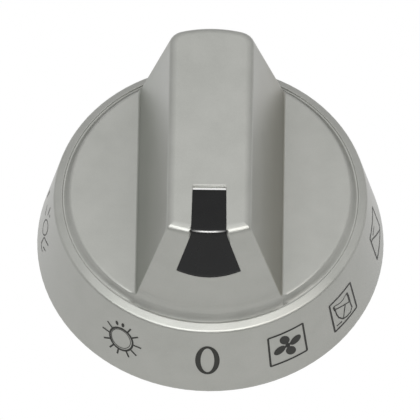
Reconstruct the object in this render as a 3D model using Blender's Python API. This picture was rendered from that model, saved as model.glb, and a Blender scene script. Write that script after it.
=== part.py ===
"""Oven control knob: a hollow one-piece moulding with a bar grip, a bent black pointer inlay
let into the grip, and a spring clip round the split shaft boss.

The knob's axis is Z. It stands on the foot of its skirt at Z = 0, with the grip on top, and the
pointer faces -Y. Sizes are in metres.
"""
import bmesh
import bpy
import math
from math import cos, pi, radians, sin, tan
from mathutils import Vector

MM = 0.001

# Skirt: the flared ring that carries the printed symbols
SKIRT_FOOT_RADIUS = 26.0 * MM
SKIRT_LEAN = 2.63 * MM
SKIRT_HEIGHT = 12.7 * MM
SKIRT_FOOT_ROUND = 0.2 * MM

# Rim: the bevelled edge on top of the skirt, a narrow steeper crest on it, and the groove inside
RIM_WIDTH = 1.3 * MM
RIM_RISE = 0.71 * MM
RIM_ROUND = 0.8 * MM
CREST_WIDTH = 0.2 * MM
CREST_FALL = 0.13 * MM
CREST_ROUND = 0.12 * MM
GROOVE_DEPTH = 0.51 * MM
GROOVE_WALL_LEAN = 0.07 * MM
GROOVE_FLOOR_WIDTH = 0.12 * MM

# Half-moon plateaus on both sides of the grip
PLATEAU_RISE = 0.94 * MM
PLATEAU_ROUND = 0.5 * MM
PLATEAU_SETBACK = 0.05 * MM

# Grip: a bar with conical ends and flat drafted sides, its foot flared into the groove
GRIP_RISE = 17.94 * MM
GRIP_END_DRAFT = radians(9.1)
GRIP_TOP_HALF_WIDTH = 6.05 * MM
GRIP_SIDE_DRAFT = radians(14.86)
GRIP_TOP_ROUND = 1.4 * MM
GRIP_LEAST_ROUND = 0.1 * MM
GRIP_FRONT_CORNER = 0.35 * MM
GRIP_BACK_CORNER = 2.2 * MM
GRIP_BACK_FOOT_CORNER = 0.4 * MM
FLARE_ROUND = 6.5 * MM
FLARE_LEAN = radians(38.0)
SIDE_FOOT_ROUND = 0.8 * MM
SIDE_FOOT_LEAN = radians(70.0)

# Hollow underside
WALL = 2.0 * MM
HOLLOW_CORNER = 1.2 * MM

# Shaft boss, for a 6 mm shaft with a flat that leaves 4.6 mm
SHAFT_DIAMETER = 6.0 * MM
SHAFT_ACROSS_FLAT = 4.6 * MM
SHAFT_CLEARANCE = 0.05 * MM
BOSS_RADIUS = 5.5 * MM
BOSS_SETBACK = 2.0 * MM
SOCKET_DEPTH = 17.0 * MM
MOUTH_RADIUS = 3.3 * MM
MOUTH_DEPTH = 5.0 * MM
BORE_RADIUS = 2.3 * MM
BORE_DEPTH = 8.0 * MM
SLOT_WIDTH = 1.0 * MM
SLOT_DEPTH = 7.5 * MM

# Ribs between the boss, the skirt and the ends of the grip
RIB_THICKNESS = 1.2 * MM
RIB_COUNT = 6
RIB_CLIP_CLEARANCE = 1.15 * MM
RIB_DROP = 2.0 * MM
WEB_DEPTH = 12.0 * MM

# Spring clip, seated in a waist of the boss
CLIP_SEAT_DEPTH = 0.5 * MM
CLIP_SEAT_START = 1.0 * MM
CLIP_WIDTH = 4.0 * MM
CLIP_THICKNESS = 0.5 * MM
CLIP_CLEARANCE = 0.3 * MM
CLIP_OPENING = radians(44.0)
CLIP_LUG = 1.1 * MM

# Pointer inlay: a strip on the grip's top, a fan on its front end
INLAY_STRIP_LENGTH = 7.93 * MM
INLAY_BACK_HALF_WIDTH = 2.5 * MM
INLAY_RIDGE_HALF_WIDTH = 2.63 * MM
INLAY_FAN_START = 0.75 * MM
INLAY_FAN_HALF_WIDTH = 4.8 * MM
INLAY_FAN_LENGTH = 9.44 * MM
INLAY_FAN_SAG = 0.75 * MM
INLAY_DEPTH = 1.0 * MM
INLAY_SET_DOWN = 0.25 * MM
INLAY_CLEARANCE = 0.3 * MM
RECESS_CHAMFER = 0.32 * MM

# How finely curves are divided, how far bodies reach past each other, and what counts as one point
TURN_STEPS = 96
SMALL_TURN_STEPS = 48
ROUND_STEPS = 5
FLARE_STEPS = 4
END_STEPS = 12
REACH = 3.0 * MM
EMBED = 0.6 * MM
FOOT_SINK = 0.05 * MM
MERGE = 0.0001 * MM

# Heights and radii that follow from the sizes above
RIM_HEIGHT = SKIRT_HEIGHT + RIM_RISE
GROOVE_HEIGHT = RIM_HEIGHT - GROOVE_DEPTH
PLATEAU_HEIGHT = RIM_HEIGHT + PLATEAU_RISE
GRIP_HEIGHT = PLATEAU_HEIGHT + GRIP_RISE
CEILING = PLATEAU_HEIGHT - WALL
ROOF = GRIP_HEIGHT - WALL
SOCKET_TOP = BOSS_SETBACK + SOCKET_DEPTH
CLIP_SEAT_LOW = BOSS_SETBACK + CLIP_SEAT_START
CLIP_SEAT_HIGH = CLIP_SEAT_LOW + CLIP_WIDTH + 2 * CLIP_CLEARANCE
RIB_LOW_AT_BOSS = CLIP_SEAT_HIGH + RIB_CLIP_CLEARANCE
RIB_LOW_AT_SKIRT = RIB_LOW_AT_BOSS - RIB_DROP
SKIRT_TOP_RADIUS = SKIRT_FOOT_RADIUS - SKIRT_LEAN
RIM_INNER_RADIUS = SKIRT_TOP_RADIUS - RIM_WIDTH
FLARE_FOOT_RADIUS = RIM_INNER_RADIUS - GROOVE_WALL_LEAN - GROOVE_FLOOR_WIDTH
FLARE_AXIS_RADIUS = FLARE_FOOT_RADIUS + FLARE_ROUND * cos(FLARE_LEAN)
FLARE_AXIS_HEIGHT = GROOVE_HEIGHT - FOOT_SINK + FLARE_ROUND * sin(FLARE_LEAN)
FLARE_TOP_RADIUS = FLARE_AXIS_RADIUS - FLARE_ROUND * cos(GRIP_END_DRAFT)
FLARE_TOP_HEIGHT = FLARE_AXIS_HEIGHT - FLARE_ROUND * sin(GRIP_END_DRAFT)
SIDE_AXIS_HEIGHT = PLATEAU_HEIGHT - FOOT_SINK + SIDE_FOOT_ROUND * sin(SIDE_FOOT_LEAN)
SIDE_TOP_HEIGHT = SIDE_AXIS_HEIGHT - SIDE_FOOT_ROUND * sin(GRIP_SIDE_DRAFT)
GRIP_TOP_RADIUS = FLARE_TOP_RADIUS - (GRIP_HEIGHT - FLARE_TOP_HEIGHT) * tan(GRIP_END_DRAFT)
INLAY_BACK = GRIP_TOP_RADIUS - INLAY_STRIP_LENGTH


def clear_scene():
    for item in list(bpy.data.objects):
        bpy.data.objects.remove(item, do_unlink=True)


def make_material(name, color, roughness, metallic):
    material = bpy.data.materials.new(name)
    material.use_nodes = True
    shader = material.node_tree.nodes["Principled BSDF"]
    shader.inputs["Base Color"].default_value = (*color, 1.0)
    shader.inputs["Roughness"].default_value = roughness
    shader.inputs["Metallic"].default_value = metallic
    material.diffuse_color = (*color, 1.0)
    return material


def rounded(corners, steps=ROUND_STEPS):
    """Outline through (x, z, radius) corners, with an arc at each corner whose radius isn't 0."""
    points = []
    for index, (x, z, radius) in enumerate(corners):
        corner = Vector((x, z))
        if radius <= 0.0:
            points.append(corner)
            continue
        to_last = (Vector(corners[index - 1][:2]) - corner).normalized()
        to_next = (Vector(corners[(index + 1) % len(corners)][:2]) - corner).normalized()
        half_angle = to_last.angle(to_next) / 2
        bisector = (to_last + to_next).normalized()
        centre = corner + bisector * (radius / sin(half_angle))
        first = corner + to_last * (radius / tan(half_angle)) - centre
        last = corner + to_next * (radius / tan(half_angle)) - centre
        sweep = first.angle_signed(last)
        for step in range(steps + 1):
            turn = -sweep * step / steps
            points.append(centre + Vector((
                first.x * cos(turn) - first.y * sin(turn),
                first.x * sin(turn) + first.y * cos(turn),
            )))
    return points


def finish_mesh(name, mesh_edit):
    bmesh.ops.remove_doubles(mesh_edit, verts=mesh_edit.verts, dist=MERGE)
    bmesh.ops.recalc_face_normals(mesh_edit, faces=mesh_edit.faces)
    mesh = bpy.data.meshes.new(name)
    mesh_edit.to_mesh(mesh)
    mesh_edit.free()
    item = bpy.data.objects.new(name, mesh)
    bpy.context.scene.collection.objects.link(item)
    return item


def revolve(name, outline, steps=TURN_STEPS):
    """Solid of an (r, z) outline with flat ends that start on the axis, turned about Z."""
    mesh_edit = bmesh.new()
    verts = [mesh_edit.verts.new((point[0], 0.0, point[1])) for point in outline]
    edges = [mesh_edit.edges.new(pair) for pair in zip(verts, verts[1:])]
    bmesh.ops.spin(
        mesh_edit, geom=verts + edges, axis=(0, 0, 1), cent=(0, 0, 0),
        angle=2 * pi, steps=steps, use_merge=True,
    )
    bmesh.ops.remove_doubles(mesh_edit, verts=mesh_edit.verts, dist=MERGE)
    middles = [vert for vert in mesh_edit.verts if vert.co.xy.length < MERGE]
    bmesh.ops.dissolve_verts(mesh_edit, verts=middles)
    return finish_mesh(name, mesh_edit)


def extrude(name, outline, place, depth):
    """Solid of a closed outline: place(point) puts a point on the first face, depth is a vector."""
    mesh_edit = bmesh.new()
    face = mesh_edit.faces.new([mesh_edit.verts.new(place(point)) for point in outline])
    grown = bmesh.ops.extrude_face_region(mesh_edit, geom=[face])
    moved = [item for item in grown["geom"] if isinstance(item, bmesh.types.BMVert)]
    bmesh.ops.translate(mesh_edit, verts=moved, vec=depth)
    return finish_mesh(name, mesh_edit)


def extrude_up(name, outline, low, high):
    return extrude(name, outline, lambda p: (p[0], p[1], low), (0, 0, high - low))


def extrude_back(name, outline, front, back):
    return extrude(name, outline, lambda p: (p[0], front, p[1]), (0, back - front, 0))


def circle(radius, steps=SMALL_TURN_STEPS):
    return [
        Vector((radius * cos(2 * pi * step / steps), radius * sin(2 * pi * step / steps)))
        for step in range(steps)
    ]


def combine(target, tool, operation):
    """Adds, cuts or intersects target with tool, which stays in the scene as a wire guide."""
    tool.hide_render = True
    tool.display_type = "WIRE"
    modifier = target.modifiers.new(f"{operation.lower()}_{tool.name}", "BOOLEAN")
    modifier.operation = operation
    modifier.object = tool
    modifier.solver = "EXACT"
    return target


def end_radius(height, inset=0.0):
    """Radius of the grip's conical end at a height, or of a cone inset from it."""
    return GRIP_TOP_RADIUS + (GRIP_HEIGHT - height) * tan(GRIP_END_DRAFT) - inset / cos(GRIP_END_DRAFT)


def half_width(height, inset=0.0):
    """Half the grip's width at a height, or that of a bar inset from it."""
    return GRIP_TOP_HALF_WIDTH + (GRIP_HEIGHT - height) * tan(GRIP_SIDE_DRAFT) - inset / cos(GRIP_SIDE_DRAFT)


def make_cone(name, inset, low):
    """The cone that both ends of the grip lie on, inset by a distance, down to a height."""
    top = GRIP_HEIGHT - inset
    end_round = max(GRIP_TOP_ROUND - inset, GRIP_LEAST_ROUND)
    return revolve(name, rounded([
        (0.0, low, 0.0),
        (end_radius(low, inset), low, 0.0),
        (end_radius(top, inset), top, end_round),
        (0.0, top, 0.0),
    ]))


def flare_radius(height):
    """Radius at a height of the hollow curve between the cone and the groove."""
    rise = (FLARE_AXIS_HEIGHT - height) / FLARE_ROUND
    return FLARE_AXIS_RADIUS - FLARE_ROUND * math.sqrt(1 - rise * rise)


def foot_heights(axis_height, radius, lean, draft):
    """Heights up a hollow foot curve, from its lowest point to where it runs into the drafted face."""
    sweep = lean - draft
    return [
        axis_height - radius * sin(lean - sweep * step / FLARE_STEPS)
        for step in range(FLARE_STEPS + 1)
    ]


def flare_heights():
    return foot_heights(FLARE_AXIS_HEIGHT, FLARE_ROUND, FLARE_LEAN, GRIP_END_DRAFT)


def side_foot_heights():
    return foot_heights(SIDE_AXIS_HEIGHT, SIDE_FOOT_ROUND, SIDE_FOOT_LEAN, GRIP_SIDE_DRAFT)


def top_round_heights():
    """Heights up the round between the grip's sides and its top."""
    return [
        GRIP_HEIGHT - GRIP_TOP_ROUND * (1 - sin(pi / 2 * step / ROUND_STEPS))
        for step in range(ROUND_STEPS + 1)
    ]


def under_top_round(height, distance, draft):
    """Distance from the middle to a drafted face, or to the round that ends it at the top."""
    rise = (height - GRIP_HEIGHT + GRIP_TOP_ROUND) / GRIP_TOP_ROUND
    if rise <= sin(draft):
        return distance(height)
    across = math.sqrt(max(1 - rise * rise, 0.0))
    return distance(GRIP_HEIGHT - GRIP_TOP_ROUND, GRIP_TOP_ROUND) + GRIP_TOP_ROUND * across


def grip_end(height):
    if height < FLARE_TOP_HEIGHT:
        return flare_radius(height)
    return under_top_round(height, end_radius, GRIP_END_DRAFT)


def grip_side(height):
    if height >= SIDE_TOP_HEIGHT:
        return under_top_round(height, half_width, GRIP_SIDE_DRAFT)
    rise = min((SIDE_AXIS_HEIGHT - height) / SIDE_FOOT_ROUND, sin(SIDE_FOOT_LEAN))
    axis_width = half_width(SIDE_TOP_HEIGHT) + SIDE_FOOT_ROUND * cos(GRIP_SIDE_DRAFT)
    return axis_width - SIDE_FOOT_ROUND * math.sqrt(1 - rise * rise)


def grip_corner(half, radius, corner, side, end):
    """Points round one corner of a section, from the side face to the end face."""
    middle_x = half - corner
    middle_y = math.sqrt((radius - corner) ** 2 - middle_x ** 2)
    last = math.atan2(middle_y, middle_x)
    return [
        (side * (middle_x + corner * cos(last * step / ROUND_STEPS)),
         end * (middle_y + corner * sin(last * step / ROUND_STEPS)))
        for step in range(ROUND_STEPS + 1)
    ]


def grip_arc(radius, start, finish):
    """Points on an end face between two of its corners, without those corners."""
    first = math.atan2(start[1], start[0])
    sweep = math.remainder(math.atan2(finish[1], finish[0]) - first, 2 * pi)
    angles = [first + sweep * step / END_STEPS for step in range(1, END_STEPS)]
    return [(radius * cos(angle), radius * sin(angle)) for angle in angles]


def grip_section(height):
    """Outline of the grip at a height: two sides, two ends and four round corners."""
    half = grip_side(height)
    radius = grip_end(height)
    shoulder = GRIP_HEIGHT - GRIP_TOP_ROUND
    narrowed = half_width(height) - half if height > shoulder else 0.0
    front = max(GRIP_FRONT_CORNER - narrowed, GRIP_LEAST_ROUND)
    share = min(max((height - PLATEAU_HEIGHT) / (shoulder - PLATEAU_HEIGHT), 0.0), 1.0)
    back = GRIP_BACK_FOOT_CORNER + (GRIP_BACK_CORNER - GRIP_BACK_FOOT_CORNER) * share
    back = max(back - narrowed, GRIP_LEAST_ROUND)
    back_right = grip_corner(half, radius, back, 1, 1)
    back_left = grip_corner(half, radius, back, -1, 1)[::-1]
    front_left = grip_corner(half, radius, front, -1, -1)
    front_right = grip_corner(half, radius, front, 1, -1)[::-1]
    outline = back_right + grip_arc(radius, back_right[-1], back_left[0]) + back_left
    outline += front_left + grip_arc(radius, front_left[-1], front_right[0]) + front_right
    return [(x, y, height) for x, y in outline]


def make_grip():
    """Bar lofted through its sections, with the recess for the pointer inlay cut into it."""
    low = GROOVE_HEIGHT - EMBED
    heights = sorted({low, *flare_heights(), *side_foot_heights(), *top_round_heights()})
    mesh_edit = bmesh.new()
    rings = [[mesh_edit.verts.new(point) for point in grip_section(height)] for height in heights]
    for lower, upper in zip(rings, rings[1:]):
        for index in range(len(lower)):
            mesh_edit.faces.new((lower[index - 1], lower[index], upper[index], upper[index - 1]))
    mesh_edit.faces.new(rings[0][::-1])
    mesh_edit.faces.new(rings[-1])
    grip = finish_mesh("grip_form", mesh_edit)
    return combine(grip, make_recess(), "DIFFERENCE")


def make_skirt(material):
    """Skirt, rim, groove and plateaus as one turned solid."""
    wall_heights = [GROOVE_HEIGHT, *flare_heights()[1:]]
    ring_wall = [
        (flare_radius(height) - PLATEAU_SETBACK, height, 0.0)
        for height in wall_heights if height < PLATEAU_HEIGHT - PLATEAU_ROUND
    ]
    body = revolve("knob_body", rounded([
        (0.0, 0.0, 0.0),
        (SKIRT_FOOT_RADIUS, 0.0, SKIRT_FOOT_ROUND),
        (SKIRT_TOP_RADIUS, SKIRT_HEIGHT, RIM_ROUND),
        (RIM_INNER_RADIUS + CREST_WIDTH, RIM_HEIGHT - CREST_FALL, 0.0),
        (RIM_INNER_RADIUS, RIM_HEIGHT, CREST_ROUND),
        (FLARE_FOOT_RADIUS + GROOVE_FLOOR_WIDTH, GROOVE_HEIGHT, 0.0),
        *ring_wall,
        (flare_radius(PLATEAU_HEIGHT) - PLATEAU_SETBACK, PLATEAU_HEIGHT, PLATEAU_ROUND),
        (0.0, PLATEAU_HEIGHT, 0.0),
    ]))
    body.data.materials.append(material)
    return body


def skirt_slope():
    return SKIRT_LEAN / SKIRT_HEIGHT


def hollow_radius(height):
    """Inner radius of the skirt at a height."""
    thickness = WALL * math.hypot(1.0, skirt_slope())
    return SKIRT_FOOT_RADIUS - height * skirt_slope() - thickness


def make_hollow():
    """Room inside the skirt, and above it the room inside the grip."""
    hollow = revolve("core", [
        (0.0, -REACH),
        (hollow_radius(-REACH), -REACH),
        (hollow_radius(CEILING - HOLLOW_CORNER), CEILING - HOLLOW_CORNER),
        (hollow_radius(CEILING) - HOLLOW_CORNER, CEILING),
        (0.0, CEILING),
    ])
    low = CEILING - EMBED
    right = [
        (half_width(ROOF, WALL), ROOF, EMBED),
        (half_width(low, WALL), low, 0.0),
    ]
    left = [(-x, z, radius) for x, z, radius in reversed(right)]
    reach = end_radius(low) + REACH
    grip_room = make_cone("hollow_grip", WALL, low)
    combine(grip_room, extrude_back("hollow_sides", rounded(right + left), -reach, reach), "INTERSECT")
    combine(hollow, grip_room, "UNION")
    return hollow


def make_boss():
    """Post for the shaft, with a waist for the spring clip."""
    return revolve("boss", [
        (0.0, BOSS_SETBACK),
        (BOSS_RADIUS, BOSS_SETBACK),
        (BOSS_RADIUS, CLIP_SEAT_LOW),
        (BOSS_RADIUS - CLIP_SEAT_DEPTH, CLIP_SEAT_LOW),
        (BOSS_RADIUS - CLIP_SEAT_DEPTH, CLIP_SEAT_HIGH),
        (BOSS_RADIUS, CLIP_SEAT_HIGH),
        (BOSS_RADIUS, ROOF + EMBED),
        (0.0, ROOF + EMBED),
    ], SMALL_TURN_STEPS)


def make_rib(index):
    """Radial rib under the plateaus, from above the spring clip down to a lower end at the skirt."""
    angle = pi / 2 + 2 * pi * index / RIB_COUNT
    inner = BOSS_RADIUS - EMBED
    outer = hollow_radius(RIB_LOW_AT_SKIRT) + EMBED
    top = CEILING + EMBED
    outline = [
        (inner, RIB_LOW_AT_BOSS),
        (outer, RIB_LOW_AT_SKIRT),
        (hollow_radius(CEILING) + EMBED, top),
        (inner, top),
    ]
    along = Vector((cos(angle), sin(angle), 0.0))
    across = Vector((-sin(angle), cos(angle), 0.0)) * RIB_THICKNESS

    def place(point):
        return along * point[0] + Vector((0.0, 0.0, point[1])) - across / 2

    return extrude(f"rib_{index + 1}", outline, place, across)


def make_web():
    """Upright web along the grip's room, from end to end, hung from its roof."""
    low = ROOF - WEB_DEPTH
    top = ROOF + EMBED
    far_low = end_radius(low, WALL) + EMBED
    far_top = end_radius(top, WALL) + EMBED
    outline = [(-far_low, low), (far_low, low), (far_top, top), (-far_top, top)]
    return extrude(
        "web", outline, lambda p: (-RIB_THICKNESS / 2, p[0], p[1]), (RIB_THICKNESS, 0, 0),
    )


def make_socket():
    """D-shaped hole for the shaft, with its flat towards the pointer."""
    radius = SHAFT_DIAMETER / 2 + SHAFT_CLEARANCE
    flat = SHAFT_ACROSS_FLAT - SHAFT_DIAMETER / 2 + SHAFT_CLEARANCE
    low_angle = -math.asin(flat / radius)
    sweep = pi - 2 * low_angle
    outline = []
    for step in range(SMALL_TURN_STEPS + 1):
        angle = low_angle + sweep * step / SMALL_TURN_STEPS
        outline.append((radius * cos(angle), radius * sin(angle)))
    return extrude_up("socket", outline, BOSS_SETBACK - REACH, SOCKET_TOP)


def make_slot():
    """Cut across the boss, so that its two halves can spring on to the shaft."""
    reach = BOSS_RADIUS + EMBED
    half = SLOT_WIDTH / 2
    outline = [(-reach, -half), (reach, -half), (reach, half), (-reach, half)]
    return extrude_up("slot", outline, BOSS_SETBACK - REACH, BOSS_SETBACK + SLOT_DEPTH)


def inlay_strip(name, clearance):
    """Prism above the inlay's strip on the grip's top."""
    depth = INLAY_DEPTH + EMBED
    front = end_radius(GRIP_HEIGHT - depth) + REACH
    back = INLAY_BACK + clearance
    grow = (INLAY_RIDGE_HALF_WIDTH - INLAY_BACK_HALF_WIDTH) / (GRIP_TOP_RADIUS - INLAY_BACK)
    back_half = INLAY_BACK_HALF_WIDTH + grow * clearance - clearance
    front_half = INLAY_BACK_HALF_WIDTH + grow * (front - INLAY_BACK) - clearance
    outline = [
        (-front_half, -front), (front_half, -front), (back_half, -back), (-back_half, -back),
    ]
    return extrude_up(name, outline, GRIP_HEIGHT - depth, GRIP_HEIGHT + REACH)


def inlay_fan(name, clearance):
    """Prism in front of the inlay's fan on the grip's front end, closed below by an arc."""
    start = GRIP_HEIGHT - INLAY_FAN_START
    corner = GRIP_HEIGHT - INLAY_FAN_LENGTH
    slope = (INLAY_FAN_HALF_WIDTH - INLAY_RIDGE_HALF_WIDTH) / (start - corner)
    low_half = INLAY_FAN_HALF_WIDTH - (slope + math.hypot(1.0, slope)) * clearance
    top_half = INLAY_RIDGE_HALF_WIDTH - math.hypot(1.0, slope) * clearance
    outline = [(top_half, start), (top_half, GRIP_HEIGHT - INLAY_DEPTH / 2)]
    outline += [(-x, z) for x, z in reversed(outline)]
    for step in range(2 * ROUND_STEPS + 1):
        share = 2 * step / (2 * ROUND_STEPS) - 1
        sag = INLAY_FAN_SAG * (1 - share * share)
        outline.append((share * low_half, corner - sag + clearance))
    front = end_radius(corner) + REACH
    return extrude_back(name, outline, -front, 2 * INLAY_DEPTH - GRIP_TOP_RADIUS)


def inlay_prism(name, clearance):
    prism = inlay_strip(name, clearance)
    return combine(prism, inlay_fan(f"{name}_fan", clearance), "UNION")


def make_recess():
    """Room for the pointer inlay, one depth over the top and the front end, chamfered at the back."""
    recess = inlay_prism("recess", 0.0)
    combine(recess, make_cone("recess_floor", INLAY_DEPTH, PLATEAU_HEIGHT), "DIFFERENCE")
    outline = [
        (-INLAY_BACK - EMBED, GRIP_HEIGHT - RECESS_CHAMFER),
        (-INLAY_BACK, GRIP_HEIGHT - RECESS_CHAMFER),
        (-INLAY_BACK + RECESS_CHAMFER + EMBED, GRIP_HEIGHT + EMBED),
        (-INLAY_BACK - EMBED, GRIP_HEIGHT + EMBED),
    ]
    half = INLAY_BACK_HALF_WIDTH
    chamfer = extrude(
        "recess_chamfer", outline, lambda p: (-half, p[0], p[1]), (2 * half, 0, 0),
    )
    return combine(recess, chamfer, "UNION")


def make_core():
    """All the air under the knob: its hollow less the boss and ribs, plus the socket."""
    core = make_hollow()
    ribs = [make_rib(index) for index in range(RIB_COUNT)]
    for solid in [make_boss(), *ribs, make_web()]:
        combine(core, solid, "DIFFERENCE")
    mouth = extrude_up("mouth", circle(MOUTH_RADIUS), BOSS_SETBACK - REACH, BOSS_SETBACK + MOUTH_DEPTH)
    bore = extrude_up("bore", circle(BORE_RADIUS), SOCKET_TOP - EMBED, SOCKET_TOP + BORE_DEPTH)
    for air in (make_socket(), mouth, bore, make_slot()):
        combine(core, air, "UNION")
    return core


def make_knob_body(material):
    body = make_skirt(material)
    combine(body, make_grip(), "UNION")
    combine(body, make_core(), "DIFFERENCE")
    return body


def make_pointer(material):
    """Black inlay: bent over the front ridge, a little below the grip's surface."""
    pointer = inlay_prism("pointer_insert", INLAY_CLEARANCE)
    pointer.data.materials.append(material)
    face = make_cone("inlay_face", INLAY_SET_DOWN, PLATEAU_HEIGHT)
    back = make_cone("inlay_back", INLAY_DEPTH - INLAY_CLEARANCE, PLATEAU_HEIGHT)
    combine(pointer, face, "INTERSECT")
    combine(pointer, back, "DIFFERENCE")
    return pointer


def make_clip(material):
    """Open steel band in the boss's waist, with its two ends turned outwards."""
    inner = BOSS_RADIUS - CLIP_SEAT_DEPTH + CLIP_CLEARANCE
    outer = inner + CLIP_THICKNESS
    low = CLIP_SEAT_LOW + CLIP_CLEARANCE
    start = pi / 2 + CLIP_OPENING / 2
    end = pi / 2 + 2 * pi - CLIP_OPENING / 2
    inside = []
    outside = []
    for step in range(SMALL_TURN_STEPS + 1):
        angle = start + (end - start) * step / SMALL_TURN_STEPS
        inside.append(Vector((inner * cos(angle), inner * sin(angle))))
        outside.append(Vector((outer * cos(angle), outer * sin(angle))))
    lug_start = outside[0] + Vector((cos(start), sin(start))) * CLIP_LUG
    lug_end = outside[-1] + Vector((cos(end), sin(end))) * CLIP_LUG
    side_start = Vector((-sin(start), cos(start))) * CLIP_THICKNESS
    side_end = Vector((sin(end), -cos(end))) * CLIP_THICKNESS
    root_start = Vector((cos(start), sin(start))) * outer + side_start
    root_end = Vector((cos(end), sin(end))) * outer + side_end
    kept = [point for point in outside[1:-1] if min(
        (point - outside[0]).length, (point - outside[-1]).length) > 1.3 * CLIP_THICKNESS]
    outline = inside + [lug_end, lug_end + side_end, root_end] + kept[::-1]
    outline += [root_start, lug_start + side_start, lug_start]
    clip = extrude_up("boss_spring_clip", outline, low, low + CLIP_WIDTH)
    clip.data.materials.append(material)
    return clip


def shade(item):
    item.data.shade_smooth()
    item.data.set_sharp_from_angle(angle=radians(28.0))


clear_scene()
silver = make_material("silver_paint", (0.40, 0.41, 0.385), 0.38, 0.55)
black = make_material("black_plastic", (0.018, 0.019, 0.020), 0.32, 0.0)
steel = make_material("spring_steel", (0.46, 0.45, 0.43), 0.30, 1.0)
for part in (make_knob_body(silver), make_pointer(black), make_clip(steel)):
    shade(part)
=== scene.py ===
# Cooker control knob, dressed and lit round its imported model
import math

import bmesh
import bpy
from mathutils import Matrix, Vector


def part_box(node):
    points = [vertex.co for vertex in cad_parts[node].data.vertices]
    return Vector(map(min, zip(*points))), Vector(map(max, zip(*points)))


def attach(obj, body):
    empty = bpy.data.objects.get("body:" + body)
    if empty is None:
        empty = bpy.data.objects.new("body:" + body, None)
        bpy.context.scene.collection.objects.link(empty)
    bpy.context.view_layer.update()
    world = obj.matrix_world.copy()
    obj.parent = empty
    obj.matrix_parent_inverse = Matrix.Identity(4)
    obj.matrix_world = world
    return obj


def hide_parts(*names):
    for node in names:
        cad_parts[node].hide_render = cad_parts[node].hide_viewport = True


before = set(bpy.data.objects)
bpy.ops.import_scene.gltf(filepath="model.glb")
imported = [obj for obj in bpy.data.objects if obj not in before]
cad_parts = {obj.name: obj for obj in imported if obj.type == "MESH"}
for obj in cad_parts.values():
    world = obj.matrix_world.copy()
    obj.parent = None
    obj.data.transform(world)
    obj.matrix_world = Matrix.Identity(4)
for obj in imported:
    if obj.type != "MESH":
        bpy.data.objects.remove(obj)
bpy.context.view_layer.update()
mm = 0.001
print("frame loaded:", sorted(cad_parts))

# camera, floor and light
shot = {
    "elevation": 58.3,  # degrees above the floor
    "turn": 0.8,  # degrees to the right of the pointer
    "distance": 2.0,
    "clipEnd": 20.0,
    "sensorWidth": 36.0,
    "pixelsPerMm": 6.70,
    "frameWidth": 420,
    "aim": (-0.00006, 0.0, 0.00945),
}

studio = {
    "floorSize": 6.0,
    "floorColor": (0.30, 0.29, 0.24, 1.0),
    "floorFar": (0.05, 0.35),  # between these distances reflections of the floor darken
    "floorFarGlow": 0.45,
    "worldSoft": 0.24,  # what matt surfaces get from the room
    "worldSeen": 1.0,  # what the camera and the reflections see of it
    "boxDistance": 0.42,
    "boxSize": (0.35, 0.22),
    "boxElevation": 43.0,
    "boxTurns": (-37.0, 0.0, 37.0),
    "boxColors": ((0.98, 1.0, 0.99), (1.0, 1.0, 1.0), (1.0, 0.985, 0.94)),
    "boxRadiance": 2.32,
    "topSize": (0.36, 0.36),
    "topTurn": 180.0,
    "topElevation": 86.0,
    "topRadiance": 0.63,
    "flagRadius": 1.6,
    "flagHeight": 0.80,
    "flagSteps": 64,
    "flagGlow": (0.08, 0.85),  # in front, behind
    "flagSpan": (-0.55, 0.10),  # between these the glow changes, in radii towards the back
}


def awayFrom(turn, elevation):
    # direction out from the knob: turn 0 is in front of the pointer, positive to the right
    a, e = math.radians(turn), math.radians(elevation)
    return Vector((math.sin(a) * math.cos(e), -math.cos(a) * math.cos(e), math.sin(e)))


def makeCamera():
    data = bpy.data.cameras.new("photoCamera")
    data.sensor_width = shot["sensorWidth"]
    data.lens = shot["pixelsPerMm"] * shot["distance"] / mm * data.sensor_width / shot["frameWidth"]
    data.clip_end = shot["clipEnd"]
    camera = bpy.data.objects.new("photoCamera", data)
    bpy.context.scene.collection.objects.link(camera)
    away = awayFrom(shot["turn"], shot["elevation"])
    camera.location = Vector(shot["aim"]) + away * shot["distance"]
    camera.rotation_mode = "QUATERNION"
    camera.rotation_quaternion = (-away).to_track_quat("-Z", "Y")
    bpy.context.scene.camera = camera


def newMaterial(name):
    material = bpy.data.materials.new(name)
    material.use_nodes = True
    tree = material.node_tree
    tree.nodes.clear()
    output = tree.nodes.new("ShaderNodeOutputMaterial")
    return material, tree, output


def setInput(tree, socket, value):
    # takes a link from another socket, or a plain value
    if isinstance(value, bpy.types.NodeSocket):
        tree.links.new(value, socket)
    else:
        socket.default_value = value


def addMath(tree, operation, *values):
    node = tree.nodes.new("ShaderNodeMath")
    node.operation = operation
    for socket, value in zip(node.inputs, values):
        setInput(tree, socket, value)
    return node.outputs[0]


def addLength(tree, vector):
    node = tree.nodes.new("ShaderNodeVectorMath")
    node.operation = "LENGTH"
    tree.links.new(vector, node.inputs[0])
    return node.outputs["Value"]


def addSplit(tree, vector):
    node = tree.nodes.new("ShaderNodeSeparateXYZ")
    tree.links.new(vector, node.inputs[0])
    return node.outputs


def addRange(tree, value, source, target):
    # carries a value over from one span to another, and holds it there
    node = tree.nodes.new("ShaderNodeMapRange")
    node.inputs["From Min"].default_value, node.inputs["From Max"].default_value = source
    node.inputs["To Min"].default_value, node.inputs["To Max"].default_value = target
    tree.links.new(value, node.inputs["Value"])
    return node.outputs["Result"]


def addFade(tree, value, span, scale=mm):
    # 1 at the span's first end and 0 at its second
    return addRange(tree, value, [end * scale for end in span], (1.0, 0.0))


def addMix(tree, mask, first, second, mode="MIX"):
    # a color from two others, each of them a socket or four numbers
    node = tree.nodes.new("ShaderNodeMix")
    node.data_type = "RGBA"
    node.blend_type = mode
    tree.links.new(mask, node.inputs["Factor"])
    colors = [socket for socket in node.inputs if socket.type == "RGBA"]
    for socket, value in zip(colors, (first, second)):
        setInput(tree, socket, value)
    return next(socket for socket in node.outputs if socket.type == "RGBA")


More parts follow.
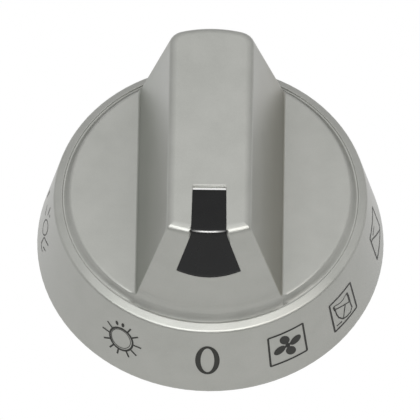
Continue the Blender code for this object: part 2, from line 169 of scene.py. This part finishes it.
def addGlow(tree, strength):
    glow = tree.nodes.new("ShaderNodeEmission")
    glow.inputs["Color"].default_value = (1, 1, 1, 1)
    tree.links.new(strength, glow.inputs["Strength"])
    return glow


def showByRay(tree, output, matt, seen):
    # camera, glossy and transmission rays see one shader, the matt surfaces get the other
    path = tree.nodes.new("ShaderNodeLightPath")
    rays = addMath(tree, "MAXIMUM", path.outputs["Is Camera Ray"], path.outputs["Is Glossy Ray"])
    rays = addMath(tree, "MAXIMUM", rays, path.outputs["Is Transmission Ray"])
    mix = tree.nodes.new("ShaderNodeMixShader")
    for socket, source in zip(mix.inputs, (rays, matt.outputs[0], seen.outputs[0])):
        tree.links.new(source, socket)
    tree.links.new(mix.outputs[0], output.inputs["Surface"])


def addItem(name, bm, material):
    mesh = bpy.data.meshes.new(name)
    bm.to_mesh(mesh)
    bm.free()
    mesh.materials.append(material)
    item = bpy.data.objects.new(name, mesh)
    bpy.context.scene.collection.objects.link(item)
    return item


def makeFloor():
    # white for the camera, matt for the light, and fading with distance in reflections
    material, tree, output = newMaterial("paleFloor")
    matt = tree.nodes.new("ShaderNodeBsdfDiffuse")
    matt.inputs["Color"].default_value = studio["floorColor"]
    place = tree.nodes.new("ShaderNodeTexCoord")
    away = addLength(tree, place.outputs["Object"])
    fade = addRange(tree, away, studio["floorFar"], (1.0, studio["floorFarGlow"]))
    path = tree.nodes.new("ShaderNodeLightPath")
    strength = addMath(tree, "MAXIMUM", path.outputs["Is Camera Ray"], fade)
    showByRay(tree, output, matt, addGlow(tree, strength))
    bm = bmesh.new()
    bmesh.ops.create_grid(bm, x_segments=1, y_segments=1, size=studio["floorSize"] / 2)
    floor = addItem("studioFloor", bm, material)


def makeFlag():
    # a band round the horizon, dark in front: it gives the paint its dark line beside each highlight
    material, tree, output = newMaterial("horizonFlag")
    radius = studio["flagRadius"]
    height = studio["flagHeight"]
    place = tree.nodes.new("ShaderNodeTexCoord")
    behind = addSplit(tree, place.outputs["Object"])["Y"]
    span = [share * radius for share in studio["flagSpan"]]
    glow = addGlow(tree, addRange(tree, behind, span, studio["flagGlow"]))
    tree.links.new(glow.outputs[0], output.inputs["Surface"])
    bm = bmesh.new()
    bmesh.ops.create_cone(
        bm, cap_ends=False, segments=studio["flagSteps"], radius1=radius, radius2=radius, depth=height,
    )
    bmesh.ops.translate(bm, verts=bm.verts, vec=(0, 0, height / 2))
    flag = addItem("horizonFlag", bm, material)
    flag.visible_camera = False


def makeWorld():
    world = bpy.data.worlds.new("studioRoom")
    bpy.context.scene.world = world
    world.use_nodes = True
    tree = world.node_tree
    tree.nodes.clear()
    output = tree.nodes.new("ShaderNodeOutputWorld")
    rooms = []
    for strength in (studio["worldSoft"], studio["worldSeen"]):
        room = tree.nodes.new("ShaderNodeBackground")
        room.inputs["Color"].default_value = (1, 1, 1, 1)
        room.inputs["Strength"].default_value = strength
        rooms.append(room)
    showByRay(tree, output, *rooms)


def makeBox(name, size, radiance, turn, elevation, color=(1.0, 1.0, 1.0)):
    data = bpy.data.lights.new(name, "AREA")
    data.color = color
    data.shape = "RECTANGLE"
    data.size, data.size_y = size
    data.energy = radiance * math.pi * size[0] * size[1]
    light = bpy.data.objects.new(name, data)
    bpy.context.scene.collection.objects.link(light)
    away = awayFrom(turn, elevation)
    light.location = away * studio["boxDistance"]
    light.rotation_mode = "QUATERNION"
    light.rotation_quaternion = away.to_track_quat("Z", "Y")
    light.visible_camera = False


makeCamera()
bpy.context.scene.view_settings.view_transform = "Standard"
makeFloor()
makeFlag()
makeWorld()
for count, (turn, color) in enumerate(zip(studio["boxTurns"], studio["boxColors"])):
    makeBox(
        f"softBox{count}", studio["boxSize"], studio["boxRadiance"],
        turn, studio["boxElevation"], color,
    )
makeBox("topBox", studio["topSize"], studio["topRadiance"], studio["topTurn"], studio["topElevation"])
print("camera, floor and light made")

# the grain that all materials of the knob share
grain = {
    "inputs": {
        "Size": "grainSize",
        "Mottle Size": "mottleSize",
        "Depth": "grainDepth",
        "Strength": "grainStrength",
    },
    "outputs": {
        "Shade": "NodeSocketFloat",
        "Mottle": "NodeSocketFloat",
        "Normal": "NodeSocketVector",
    },
    "fineDetail": 2.0,
    "slowDetail": 3.0,
    "span": (0.3, 0.7),  # where nearly all of the noise lies
}


def makeGrainGroup():
    # fine grain and slow mottling on Object coordinates, as masks round 0.5 and as a bumped normal
    group = bpy.data.node_groups.new("fineGrain", "ShaderNodeTree")
    for label in grain["inputs"]:
        group.interface.new_socket(name=label, in_out="INPUT", socket_type="NodeSocketFloat")
    for label, kind in grain["outputs"].items():
        group.interface.new_socket(name=label, in_out="OUTPUT", socket_type=kind)
    start = group.nodes.new("NodeGroupInput")
    end = group.nodes.new("NodeGroupOutput")
    place = group.nodes.new("ShaderNodeTexCoord")
    fine = group.nodes.new("ShaderNodeTexNoise")
    fine.inputs["Detail"].default_value = grain["fineDetail"]
    slow = group.nodes.new("ShaderNodeTexNoise")
    slow.inputs["Detail"].default_value = grain["slowDetail"]
    bump = group.nodes.new("ShaderNodeBump")
    links = group.links
    links.new(place.outputs["Object"], fine.inputs["Vector"])
    links.new(place.outputs["Object"], slow.inputs["Vector"])
    links.new(start.outputs["Size"], fine.inputs["Scale"])
    links.new(start.outputs["Mottle Size"], slow.inputs["Scale"])
    links.new(fine.outputs["Fac"], bump.inputs["Height"])
    links.new(start.outputs["Depth"], bump.inputs["Distance"])
    links.new(start.outputs["Strength"], bump.inputs["Strength"])
    shade = group.nodes.new("ShaderNodeMix")
    links.new(fine.outputs["Fac"], shade.inputs["A"])
    links.new(slow.outputs["Fac"], shade.inputs["B"])
    links.new(shade.outputs["Result"], end.inputs["Shade"])
    links.new(slow.outputs["Fac"], end.inputs["Mottle"])
    links.new(bump.outputs["Normal"], end.inputs["Normal"])
    return group


grainGroup = makeGrainGroup()


def makeFinish(name, finish):
    # a grained, mottled surface: color and roughness vary between two values each
    material, tree, output = newMaterial(name)
    node = tree.nodes.new("ShaderNodeGroup")
    node.node_tree = grainGroup
    for label, key in grain["inputs"].items():
        node.inputs[label].default_value = finish[key]
    shader = tree.nodes.new("ShaderNodeBsdfPrincipled")
    shader.inputs["Metallic"].default_value = finish["metallic"]
    shader.inputs["IOR"].default_value = finish["ior"]
    shade = addRange(tree, node.outputs["Shade"], grain["span"], (0.0, 1.0))
    color = addMix(tree, shade, (*finish["dark"], 1.0), (*finish["light"], 1.0))
    tree.links.new(color, shader.inputs["Base Color"])
    rough = addRange(tree, node.outputs["Mottle"], grain["span"], finish["roughness"])
    tree.links.new(rough, shader.inputs["Roughness"])
    tree.links.new(node.outputs["Normal"], shader.inputs["Normal"])
    tree.links.new(shader.outputs[0], output.inputs["Surface"])
    return material


def blendColor(tree, mask, color, mode):
    # the shader's base color takes on another color where the mask is 1
    base = tree.nodes["Principled BSDF"].inputs["Base Color"]
    tree.links.new(addMix(tree, mask, base.links[0].from_socket, color, mode), base)


# silver paint and the knob's moulding
paint = {
    "dark": (0.336, 0.341, 0.319),
    "light": (0.396, 0.397, 0.377),
    "roughness": (0.32, 0.38),
    "metallic": 0.6,
    "ior": 1.45,
    "grainSize": 9000.0,  # noise scale: the higher, the finer, as the next one
    "mottleSize": 240.0,
    "grainDepth": 0.0000025,
    "grainStrength": 0.35,
}

# painted shade and reflected tint on the grip's sides, darkest at their foot
sideShade = {
    "colors": ((0.77, 0.79, 0.76, 1.0), (0.77, 0.75, 0.70, 1.0)),  # multiply the paint, left and right
    "down": (19.0, 32.2),  # height in mm, where the painted shade on the sides is darkest and where it ends
    "above": (14.5, 14.2),  # height in mm, to leave out the flats' own edge
    "sideways": (0.8, 0.5),  # how far a surface faces left or right
}

shell = {
    "joinWithin": 0.000002,
    "flatWithin": 0.4,  # degrees, as the next two
    "edgeAngle": 32.0,
    "roundWithin": 7.0,
    "wallShare": 0.3,  # least sideways part of a wall's normal
    "tallWall": 0.003,
    "grooveRadius": (0.0217, 0.02205),  # where the paint lies thicker, in the groove
    "grooveHeight": (0.01285, 0.01295),
    "grooveFill": (0.00012, 0.00028),  # under the grip's ends, and beside the flats
    "grooveSides": (0.0095, 0.0140),  # how far out to the side the fill changes
}

areaWeight = 80  # over 50, large faces count for more in the smooth normals


def shadeSides(material):
    # painted shade: the grip's sides are darkened towards their foot beside the flats, where less
    # light reaches, with a painted reflection tint that differs left and right
    tree = material.node_tree
    place = tree.nodes.new("ShaderNodeTexCoord")
    height = addSplit(tree, place.outputs["Object"])["Z"]
    facing = addSplit(tree, place.outputs["Normal"])["X"]
    down = addFade(tree, height, sideShade["down"])
    above = addFade(tree, height, sideShade["above"])
    low = addMath(tree, "MULTIPLY", down, above)
    for way, color in zip((-1.0, 1.0), sideShade["colors"]):
        sideways = addMath(tree, "MULTIPLY", facing, way)
        sideways = addFade(tree, sideways, sideShade["sideways"], scale=1.0)
        blendColor(tree, addMath(tree, "MULTIPLY", low, sideways), color, "MULTIPLY")


def flatPart(vector):
    return Vector((vector.x, vector.y, 0.0))


def copyNode(nodeName, settings):
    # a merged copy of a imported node, with its flat faces in one piece
    bm = bmesh.new()
    bm.from_mesh(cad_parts[nodeName].data)
    bmesh.ops.remove_doubles(bm, verts=bm.verts, dist=settings["joinWithin"])
    bmesh.ops.dissolve_limit(
        bm, angle_limit=math.radians(settings["flatWithin"]), use_dissolve_boundaries=False,
        verts=bm.verts, edges=bm.edges, delimit=set(),
    )
    return bm


def fillGroove(bm):
    # the paint rounds off the bottom of the groove between the rim and the flats
    inner, outer = shell["grooveRadius"]
    low, high = shell["grooveHeight"]
    least, most = shell["grooveFill"]
    start, end = shell["grooveSides"]
    for vert in bm.verts:
        if inner < flatPart(vert.co).length < outer and low < vert.co.z < high:
            share = min(max((abs(vert.co.x) - start) / (end - start), 0.0), 1.0)
            vert.co.z += least + (most - least) * share


def smooth(item, angle):
    item.data.shade_smooth()
    item.data.set_sharp_from_angle(angle=math.radians(angle))
    evenOut = item.modifiers.new("evenOut", "WEIGHTED_NORMAL")
    evenOut.keep_sharp = True
    evenOut.weight = areaWeight


def roundEnds(item):
    # the normals of round walls point straight away from the knob's axis, so no facet shows
    graph = bpy.context.evaluated_depsgraph_get()
    mesh = bpy.data.meshes.new_from_object(item.evaluated_get(graph), depsgraph=graph)
    normals = [Vector(normal.vector) for normal in mesh.corner_normals]
    least = math.cos(math.radians(shell["roundWithin"]))
    for face in mesh.polygons:
        side = flatPart(face.normal)
        places = [mesh.vertices[vert].co for vert in face.vertices]
        aways = [flatPart(place).normalized() for place in places]
        facing = min(away @ side.normalized() for away in aways)
        if side.length < shell["wallShare"] or facing < least:
            continue
        heights = [place.z for place in places]
        tall = max(heights) - min(heights) > shell["tallWall"]
        for corner, away in zip(face.loop_indices, aways):
            old = face.normal if tall else normals[corner]
            turned = flatPart(old)
            if turned.length > shell["wallShare"] and turned.normalized() @ away > least:
                normals[corner] = away * turned.length + Vector((0.0, 0.0, old.z))
    mesh.normals_split_custom_set(normals)
    item.modifiers.clear()
    item.data = mesh


def makeShell():
    finish = makeFinish("silverPaint", paint)
    shadeSides(finish)
    bm = copyNode("knob_body", shell)
    fillGroove(bm)
    item = addItem("knobShell", bm, finish)
    smooth(item, shell["edgeAngle"])
    roundEnds(item)
    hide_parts("knob_body")
    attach(item, "root")


makeShell()
print("knob body made")

# black pointer inlay
blackPlastic = {
    "dark": (0.0035, 0.0037, 0.004),
    "light": (0.0065, 0.0068, 0.007),
    "roughness": (0.22, 0.30),
    "metallic": 0.0,
    "ior": 1.27,
    "grainSize": 7000.0,
    "mottleSize": 300.0,
    "grainDepth": 0.000002,
    "grainStrength": 0.25,
}

pointer = {
    "gap": 0.02,  # to the recess at the sides and below, in mm as the sizes after it
    "backGap": -0.25,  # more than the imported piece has
    "backDrop": 0.16,  # the back end dips, so the recess's edge shows above it
    "backRamp": 0.6,
    "setDown": 0.06,
    "cadSetDown": 0.25,
    "thickness": 0.55,
    "edgeRound": 0.06,
    "ridgeRound": 0.55,
    "backHalf": 2.5,
    "ridgeHalf": 2.63,
    "fanStart": 0.75,
    "fanHalf": 4.8,
    "fanLength": 9.44,
    "fanSag": 0.75,
    "endDraft": 9.1,  # degrees, as the next two
    "cornerAngle": 50.0,
    "edgeAngle": 40.0,
    "edgeSteps": 2,
    "across": 24,
    "along": (24, 8, 16),  # steps on the strip, the ridge and the fan
}

# painted highlight on the pointer: a near-white metal colour on its ridge and at its back end
paintedGlint = {
    "color": (0.90, 0.90, 0.89, 1.0),
    "ridgeDepth": 0.13,  # in mm, from the sharp corner to the line's middle
    "ridgeLine": (0.05, 0.20),  # in mm, where the line is whole and where it ends
    "ridgeStrength": 0.47,
    "backLine": (0.42, 0.52),  # from the back end
    "sideEnd": (0.9, 2.6),  # half lengths
}


def pointerPath(topRadius, topHeight):
    # radius, height and share of the way forward, from the back of the strip to the foot of the fan
    draft = math.radians(pointer["endDraft"])
    reach = pointer["ridgeRound"] * math.tan((math.pi / 2 - draft) / 2)
    middle = topRadius - reach
    onStrip, onRidge, onFan = pointer["along"]
    path = [(middle, topHeight, step / onStrip) for step in range(onStrip)]
    for step in range(onRidge + 1):
        turn = (math.pi / 2 - draft) * step / onRidge
        across = pointer["ridgeRound"] * math.sin(turn)
        down = pointer["ridgeRound"] * (1 - math.cos(turn))
        path.append((middle + across, topHeight - down, 1.0))
    radius, height = path[-1][:2]
    for step in range(1, onFan + 1):
        path.append((radius, height, 1.0 + step / onFan))
    return path


def placePointer(bm, path, topHeight, backEnd):
    # lays a flat square grid along the path, with the strip's and the fan's width
    draft = math.radians(pointer["endDraft"])
    for vert in bm.verts:
        side = vert.co.x
        radius, height, way = path[round((vert.co.y + 1) / 2 * (len(path) - 1))]
        if way > 1.0:
            sag = pointer["fanSag"] * (1 - side * side)
            foot = topHeight - pointer["fanLength"] - sag + pointer["gap"]
            drop = (height - foot) * (way - 1.0)
            radius += drop * math.tan(draft)
            height -= drop
        below = max(topHeight - height - pointer["fanStart"], 0.0)
        spread = below / (pointer["fanLength"] - pointer["fanStart"])
        half = pointer["backHalf"] + (pointer["ridgeHalf"] - pointer["backHalf"]) * min(way, 1.0)
        half += (pointer["fanHalf"] - pointer["ridgeHalf"]) * spread
        x = side * (half - pointer["gap"])
        forward = math.sqrt(radius * radius - x * x)
        y = backEnd + (forward - backEnd) * min(way, 1.0)
        height -= pointer["backDrop"] * max(1.0 - (y - backEnd) / pointer["backRamp"], 0.0)
        vert.co = Vector((x, -y, height)) * mm


def roundCorners(bm, settings):
    least = math.radians(settings["cornerAngle"])
    corners = [edge for edge in bm.edges if edge.calc_face_angle(0.0) > least]
    bmesh.ops.bevel(
        bm, geom=corners, offset=settings["edgeRound"] * mm, segments=settings["edgeSteps"],
        profile=0.5, affect="EDGES", material=-1, clamp_overlap=True,
    )


def glintPointer(material, ridge, backEnd):
    # painted highlight: the black turns to a near-white metal colour on the ridge and at the back end,
    # standing in for the glint of light on those edges
    tree = material.node_tree
    place = tree.nodes.new("ShaderNodeTexCoord")
    split = addSplit(tree, place.outputs["Object"])
    flat = tree.nodes.new("ShaderNodeVectorMath")
    flat.operation = "MULTIPLY"
    flat.inputs[1].default_value = (1.0, 1.0, 0.0)
    tree.links.new(place.outputs["Object"], flat.inputs[0])
    fromRidge = tree.nodes.new("ShaderNodeCombineXYZ")
    reached = (addLength(tree, flat.outputs[0]), split["Z"])
    for socket, value, middle in zip(fromRidge.inputs, reached, ridge):
        tree.links.new(addMath(tree, "SUBTRACT", value, middle * mm), socket)
    line = addFade(tree, addLength(tree, fromRidge.outputs[0]), paintedGlint["ridgeLine"])
    sides = addFade(tree, addMath(tree, "ABSOLUTE", split["X"]), paintedGlint["sideEnd"])
    line = addMath(tree, "MULTIPLY", line, sides)
    line = addMath(tree, "MULTIPLY", line, paintedGlint["ridgeStrength"])
    forward = addMath(tree, "MULTIPLY", split["Y"], -1.0)
    back = addFade(tree, forward, [backEnd + end for end in paintedGlint["backLine"]])
    mask = addMath(tree, "MAXIMUM", line, back)
    blendColor(tree, mask, paintedGlint["color"], "MIX")
    tree.links.new(mask, tree.nodes["Principled BSDF"].inputs["Metallic"])


def makePointer():
    draft = math.radians(pointer["endDraft"])
    low, high = [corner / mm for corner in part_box("pointer_insert")]
    backEnd = -high.y + pointer["backGap"]
    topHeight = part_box("knob_body")[1][2] / mm - pointer["setDown"]
    topRadius = -low.y - (topHeight - low.z) * math.tan(draft)
    topRadius += (pointer["cadSetDown"] - pointer["setDown"]) / math.cos(draft)
    path = pointerPath(topRadius, topHeight)
    bm = bmesh.new()
    bmesh.ops.create_grid(bm, x_segments=pointer["across"], y_segments=len(path) - 1, size=1.0)
    placePointer(bm, path, topHeight, backEnd)
    bmesh.ops.recalc_face_normals(bm, faces=bm.faces)
    if max(bm.faces, key=lambda face: face.calc_center_median().z).normal.z < 0:
        bmesh.ops.reverse_faces(bm, faces=bm.faces)
    bmesh.ops.solidify(bm, geom=bm.faces[:], thickness=pointer["thickness"] * mm)
    bmesh.ops.recalc_face_normals(bm, faces=bm.faces)
    roundCorners(bm, pointer)
    finish = makeFinish("blackPlastic", blackPlastic)
    glintPointer(finish, (topRadius - paintedGlint["ridgeDepth"], topHeight - paintedGlint["ridgeDepth"]), backEnd)
    item = addItem("pointerInlay", bm, finish)
    smooth(item, pointer["edgeAngle"])
    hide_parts("pointer_insert")
    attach(item, "root")


makePointer()
print("pointer inlay made")

# spring clip round the boss
springSteel = {
    "dark": (0.40, 0.39, 0.37),
    "light": (0.52, 0.51, 0.48),
    "roughness": (0.24, 0.36),
    "metallic": 1.0,
    "ior": 1.5,
    "grainSize": 4000.0,
    "mottleSize": 500.0,
    "grainDepth": 0.000003,
    "grainStrength": 0.4,
}

clip = {
    "joinWithin": 0.000002,
    "flatWithin": 0.4,  # degrees, as the next two
    "cornerAngle": 50.0,
    "edgeAngle": 50.0,
    "edgeRound": 0.06,  # in mm
    "edgeSteps": 2,
}


def makeClip():
    bm = copyNode("boss_spring_clip", clip)
    roundCorners(bm, clip)
    item = addItem("springClip", bm, makeFinish("springSteel", springSteel))
    smooth(item, clip["edgeAngle"])
    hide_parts("boss_spring_clip")
    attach(item, "root")


makeClip()
print("spring clip made")

# printed symbols, as thin films wrapped on the skirt's cone
ink = {
    "dark": (0.012, 0.012, 0.010),
    "light": (0.020, 0.020, 0.017),
    "roughness": (0.40, 0.55),
    "metallic": 0.0,
    "ior": 1.40,
    "grainSize": 6000.0,
    "mottleSize": 700.0,
    "grainDepth": 0.000002,
    "grainStrength": 0.3,
}

skirt = {"footRadius": 26.0, "lean": 2.63, "height": 12.7}

film = {
    "middleHeight": 6.4,  # in mm, as all sizes of the film and the symbols
    "lift": 0.018,
    "thickness": 0.03,
    "sliceWidth": 0.5,
    "reach": 5.0,
    "strokeEnds": 0.6,  # what a stroke has beyond its two points, in widths
    "boxLine": 0.32,
    "boxCorner": 0.3,
    "boxSteps": 4,
    "spotSteps": 24,
    "ringSteps": 64,
}

zero = {
    "turn": 0.0,  # degrees to the right of the pointer, as for every symbol
    "rings": (((-0.1, 0.42), 0.0, (1.83, 3.05), (1.02, 2.58)),),  # middle, tilt, outer and inner
}

fan = {
    "turn": 28.7,
    "box": ((-0.06, 0.04), (6.3, 6.45)),  # middle and size
    "hub": (-0.04, 0.13),
    "hubSize": (0.42, 0.42),
    "blades": 4,
    "bladeReach": 1.42,
    "bladeSize": (1.02, 0.74),
    "bladeStart": 16.0,
    "bladeTwist": 14.0,
    "stemShare": 0.6,  # of the blade's reach
    "stemWidth": 0.5,
}

bowl = {
    "turn": 53.5,
    "box": ((0.2, -0.5), (5.6, 6.4)),
    "strokes": (  # width, then points: the bowl, its rim, its ends and the stroke inside
        (0.2185, ((1.73, -0.7), (1.87, -2.3), (1.3, -2.95), (0.4, -2.92), (-0.37, -2.59),
                  (-1.14, -1.5), (-1.42, -0.53), (-1.55, 0.83))),
        (0.19, ((-1.6, 0.83), (1.65, -0.74))),
        (0.36, ((1.55, 1.4), (1.69, 0.6), (1.73, -0.7))),
        (0.36, ((-1.71, 1.5), (-1.57, 0.75))),
        (0.133, ((-1.6, 1.6), (-0.24, 1.07), (0.46, 1.05), (1.4, 1.45))),
        (0.19, ((0.62, -0.4), (-0.32, -2.5))),
        (0.19, ((-1.86, -2.73), (-0.81, -2.85))),
    ),
}

tray = {
    "turn": 85.8,
    "box": ((0.42, -0.6), (6.0, 6.0)),
    "strokes": (
        (0.228, ((-2.5, 1.1), (-1.77, 1.02), (2.3, -3.0))),
        (0.19, ((0.5, 0.97), (-1.0, 0.97))),
    ),
}

lamp = {
    "turn": -31.7,
    "rings": (
        ((-0.05, 0.17), 0.0, (2.15, 2.4), (1.83, 2.08)),
        ((-0.1, 0.22), 0.0, (1.72, 1.92), (1.62, 1.82)),
    ),
    "middle": (-0.05, 0.17),
    "rayTurns": (0, 38, 67, 144, 179, 213, 242, 266, 299, 325),
    "rayEnds": (2.25, 3.35),
    "rayWidth": 0.272,
    "dotTurns": (91, 111),
    "dotReach": 3.1,
    "dotSize": (0.42, 0.26),
}

ribbon = {
    "turn": -86.1,
    "rings": (((-0.25, -0.15), 62.0, (2.1, 1.25), (1.91, 1.06)),),
    "strokes": (  # two tails, then short strokes
        (0.19, ((0.84, -1.2), (3.15, 0.21))),
        (0.19, ((0.7, -1.5), (0.45, -3.3), (1.09, -3.6), (1.91, -3.35))),
        (0.19, ((1.77, -2.4), (2.82, -1.77))),
        (0.19, ((-3.5, 1.0), (-2.58, -0.28))),
        (0.19, ((-1.32, 3.8), (-1.15, 1.94))),
    ),
    "spots": (((-0.11, 3.3), 0.0, (0.22, 0.22)),),
}

tick = {
    "turn": -100.3,
    "strokes": ((0.32, ((0.27, 1.2), (-0.27, -1.2))),),
}

inkFinish = makeFinish("printInk", ink)


def outwards(turn):
    return Vector((math.cos(math.radians(turn)), math.sin(math.radians(turn))))


def flatPlace(middle, turn, scale):
    move = Matrix.Translation((middle[0], middle[1], 0.0))
    spin = Matrix.Rotation(math.radians(turn), 4, "Z")
    return move @ spin @ Matrix.Diagonal((scale[0], scale[1], 1.0, 1.0))


def addStroke(bm, start, end, width):
    along = Vector(end) - Vector(start)
    middle = (Vector(start) + Vector(end)) / 2
    turn = math.degrees(math.atan2(along.y, along.x))
    place = flatPlace(middle, turn, (along.length + width * film["strokeEnds"], width))
    bmesh.ops.create_grid(bm, x_segments=1, y_segments=1, size=0.5, matrix=place)


def addSpot(bm, middle, turn, size):
    place = flatPlace(middle, turn, size)
    bmesh.ops.create_circle(bm, cap_ends=True, segments=film["spotSteps"], radius=1.0, matrix=place)


def addRing(bm, middle, turn, outer, inner):
    edges = []
    for size in (outer, inner):
        place = flatPlace(middle, turn, size)
        made = bmesh.ops.create_circle(
            bm, cap_ends=False, segments=film["ringSteps"], radius=1.0, matrix=place,
        )
        edges += {edge for vert in made["verts"] for edge in vert.link_edges}
    bmesh.ops.bridge_loops(bm, edges=edges)


def addBox(bm, middle, size):
    # rounded rectangle line: inset, without its middle
    made = bmesh.ops.create_grid(
        bm, x_segments=1, y_segments=1, size=0.5, matrix=flatPlace(middle, 0.0, size),
    )
    bmesh.ops.bevel(
        bm, geom=made["verts"], offset=film["boxCorner"], segments=film["boxSteps"], profile=0.5,
        affect="VERTICES", material=-1,
    )
    line = bmesh.ops.inset_region(
        bm, faces=bm.faces[:], thickness=film["boxLine"], use_boundary=True, use_even_offset=True,
    )
    middleFaces = [face for face in bm.faces if face not in line["faces"]]
    bmesh.ops.delete(bm, geom=middleFaces, context="FACES")


def drawLines(bm, symbol):
    # the box goes first, because it insets every face there is
    if "box" in symbol:
        addBox(bm, *symbol["box"])
    for ring in symbol.get("rings", ()):
        addRing(bm, *ring)
    for width, points in symbol.get("strokes", ()):
        for start, end in zip(points, points[1:]):
            addStroke(bm, start, end, width)
    for spot in symbol.get("spots", ()):
        addSpot(bm, *spot)


def drawFan(bm, symbol):
    drawLines(bm, symbol)
    hub = Vector(symbol["hub"])
    for blade in range(symbol["blades"]):
        turn = symbol["bladeStart"] + 360.0 / symbol["blades"] * blade
        out = outwards(turn) * symbol["bladeReach"]
        addSpot(bm, hub + out, turn + symbol["bladeTwist"], symbol["bladeSize"])
        addStroke(bm, hub, hub + out * symbol["stemShare"], symbol["stemWidth"])
    addSpot(bm, hub, 0.0, symbol["hubSize"])


def drawLamp(bm, symbol):
    drawLines(bm, symbol)
    middle = Vector(symbol["middle"])
    start, end = symbol["rayEnds"]
    for turn in symbol["rayTurns"]:
        out = outwards(turn)
        addStroke(bm, middle + out * start, middle + out * end, symbol["rayWidth"])
    for turn in symbol["dotTurns"]:
        addSpot(bm, middle + outwards(turn) * symbol["dotReach"], turn, symbol["dotSize"])


def wrapOnSkirt(bm, turn):
    steps = int(film["reach"] / film["sliceWidth"])
    for step in range(-steps, steps):
        bmesh.ops.bisect_plane(
            bm, geom=bm.verts[:] + bm.edges[:] + bm.faces[:],
            plane_co=(step * film["sliceWidth"], 0, 0), plane_no=(1, 0, 0),
        )
    turned = [face for face in bm.faces if face.normal.z < 0]
    bmesh.ops.reverse_faces(bm, faces=turned)
    slope = math.atan2(skirt["lean"], skirt["height"])
    middleRadius = skirt["footRadius"] - film["middleHeight"] * math.tan(slope)
    for vert in bm.verts:
        height = film["middleHeight"] + vert.co.y * math.cos(slope)
        radius = skirt["footRadius"] - height * math.tan(slope)
        angle = math.radians(turn) + vert.co.x / middleRadius
        out = radius + film["lift"] * math.cos(slope)
        up = height + film["lift"] * math.sin(slope)
        vert.co = Vector((math.sin(angle) * out, -math.cos(angle) * out, up)) * mm
    bmesh.ops.solidify(bm, geom=bm.faces[:], thickness=film["thickness"] * mm)


def makeSymbol(name, draw, symbol):
    bm = bmesh.new()
    draw(bm, symbol)
    wrapOnSkirt(bm, symbol["turn"])
    item = addItem(name, bm, inkFinish)
    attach(item, "root")


makeSymbol("printZero", drawLines, zero)
makeSymbol("printFan", drawFan, fan)
makeSymbol("printBowl", drawLines, bowl)
makeSymbol("printTray", drawLines, tray)
makeSymbol("printLamp", drawLamp, lamp)
makeSymbol("printRibbon", drawLines, ribbon)
makeSymbol("printTick", drawLines, tick)
print("printed symbols made")
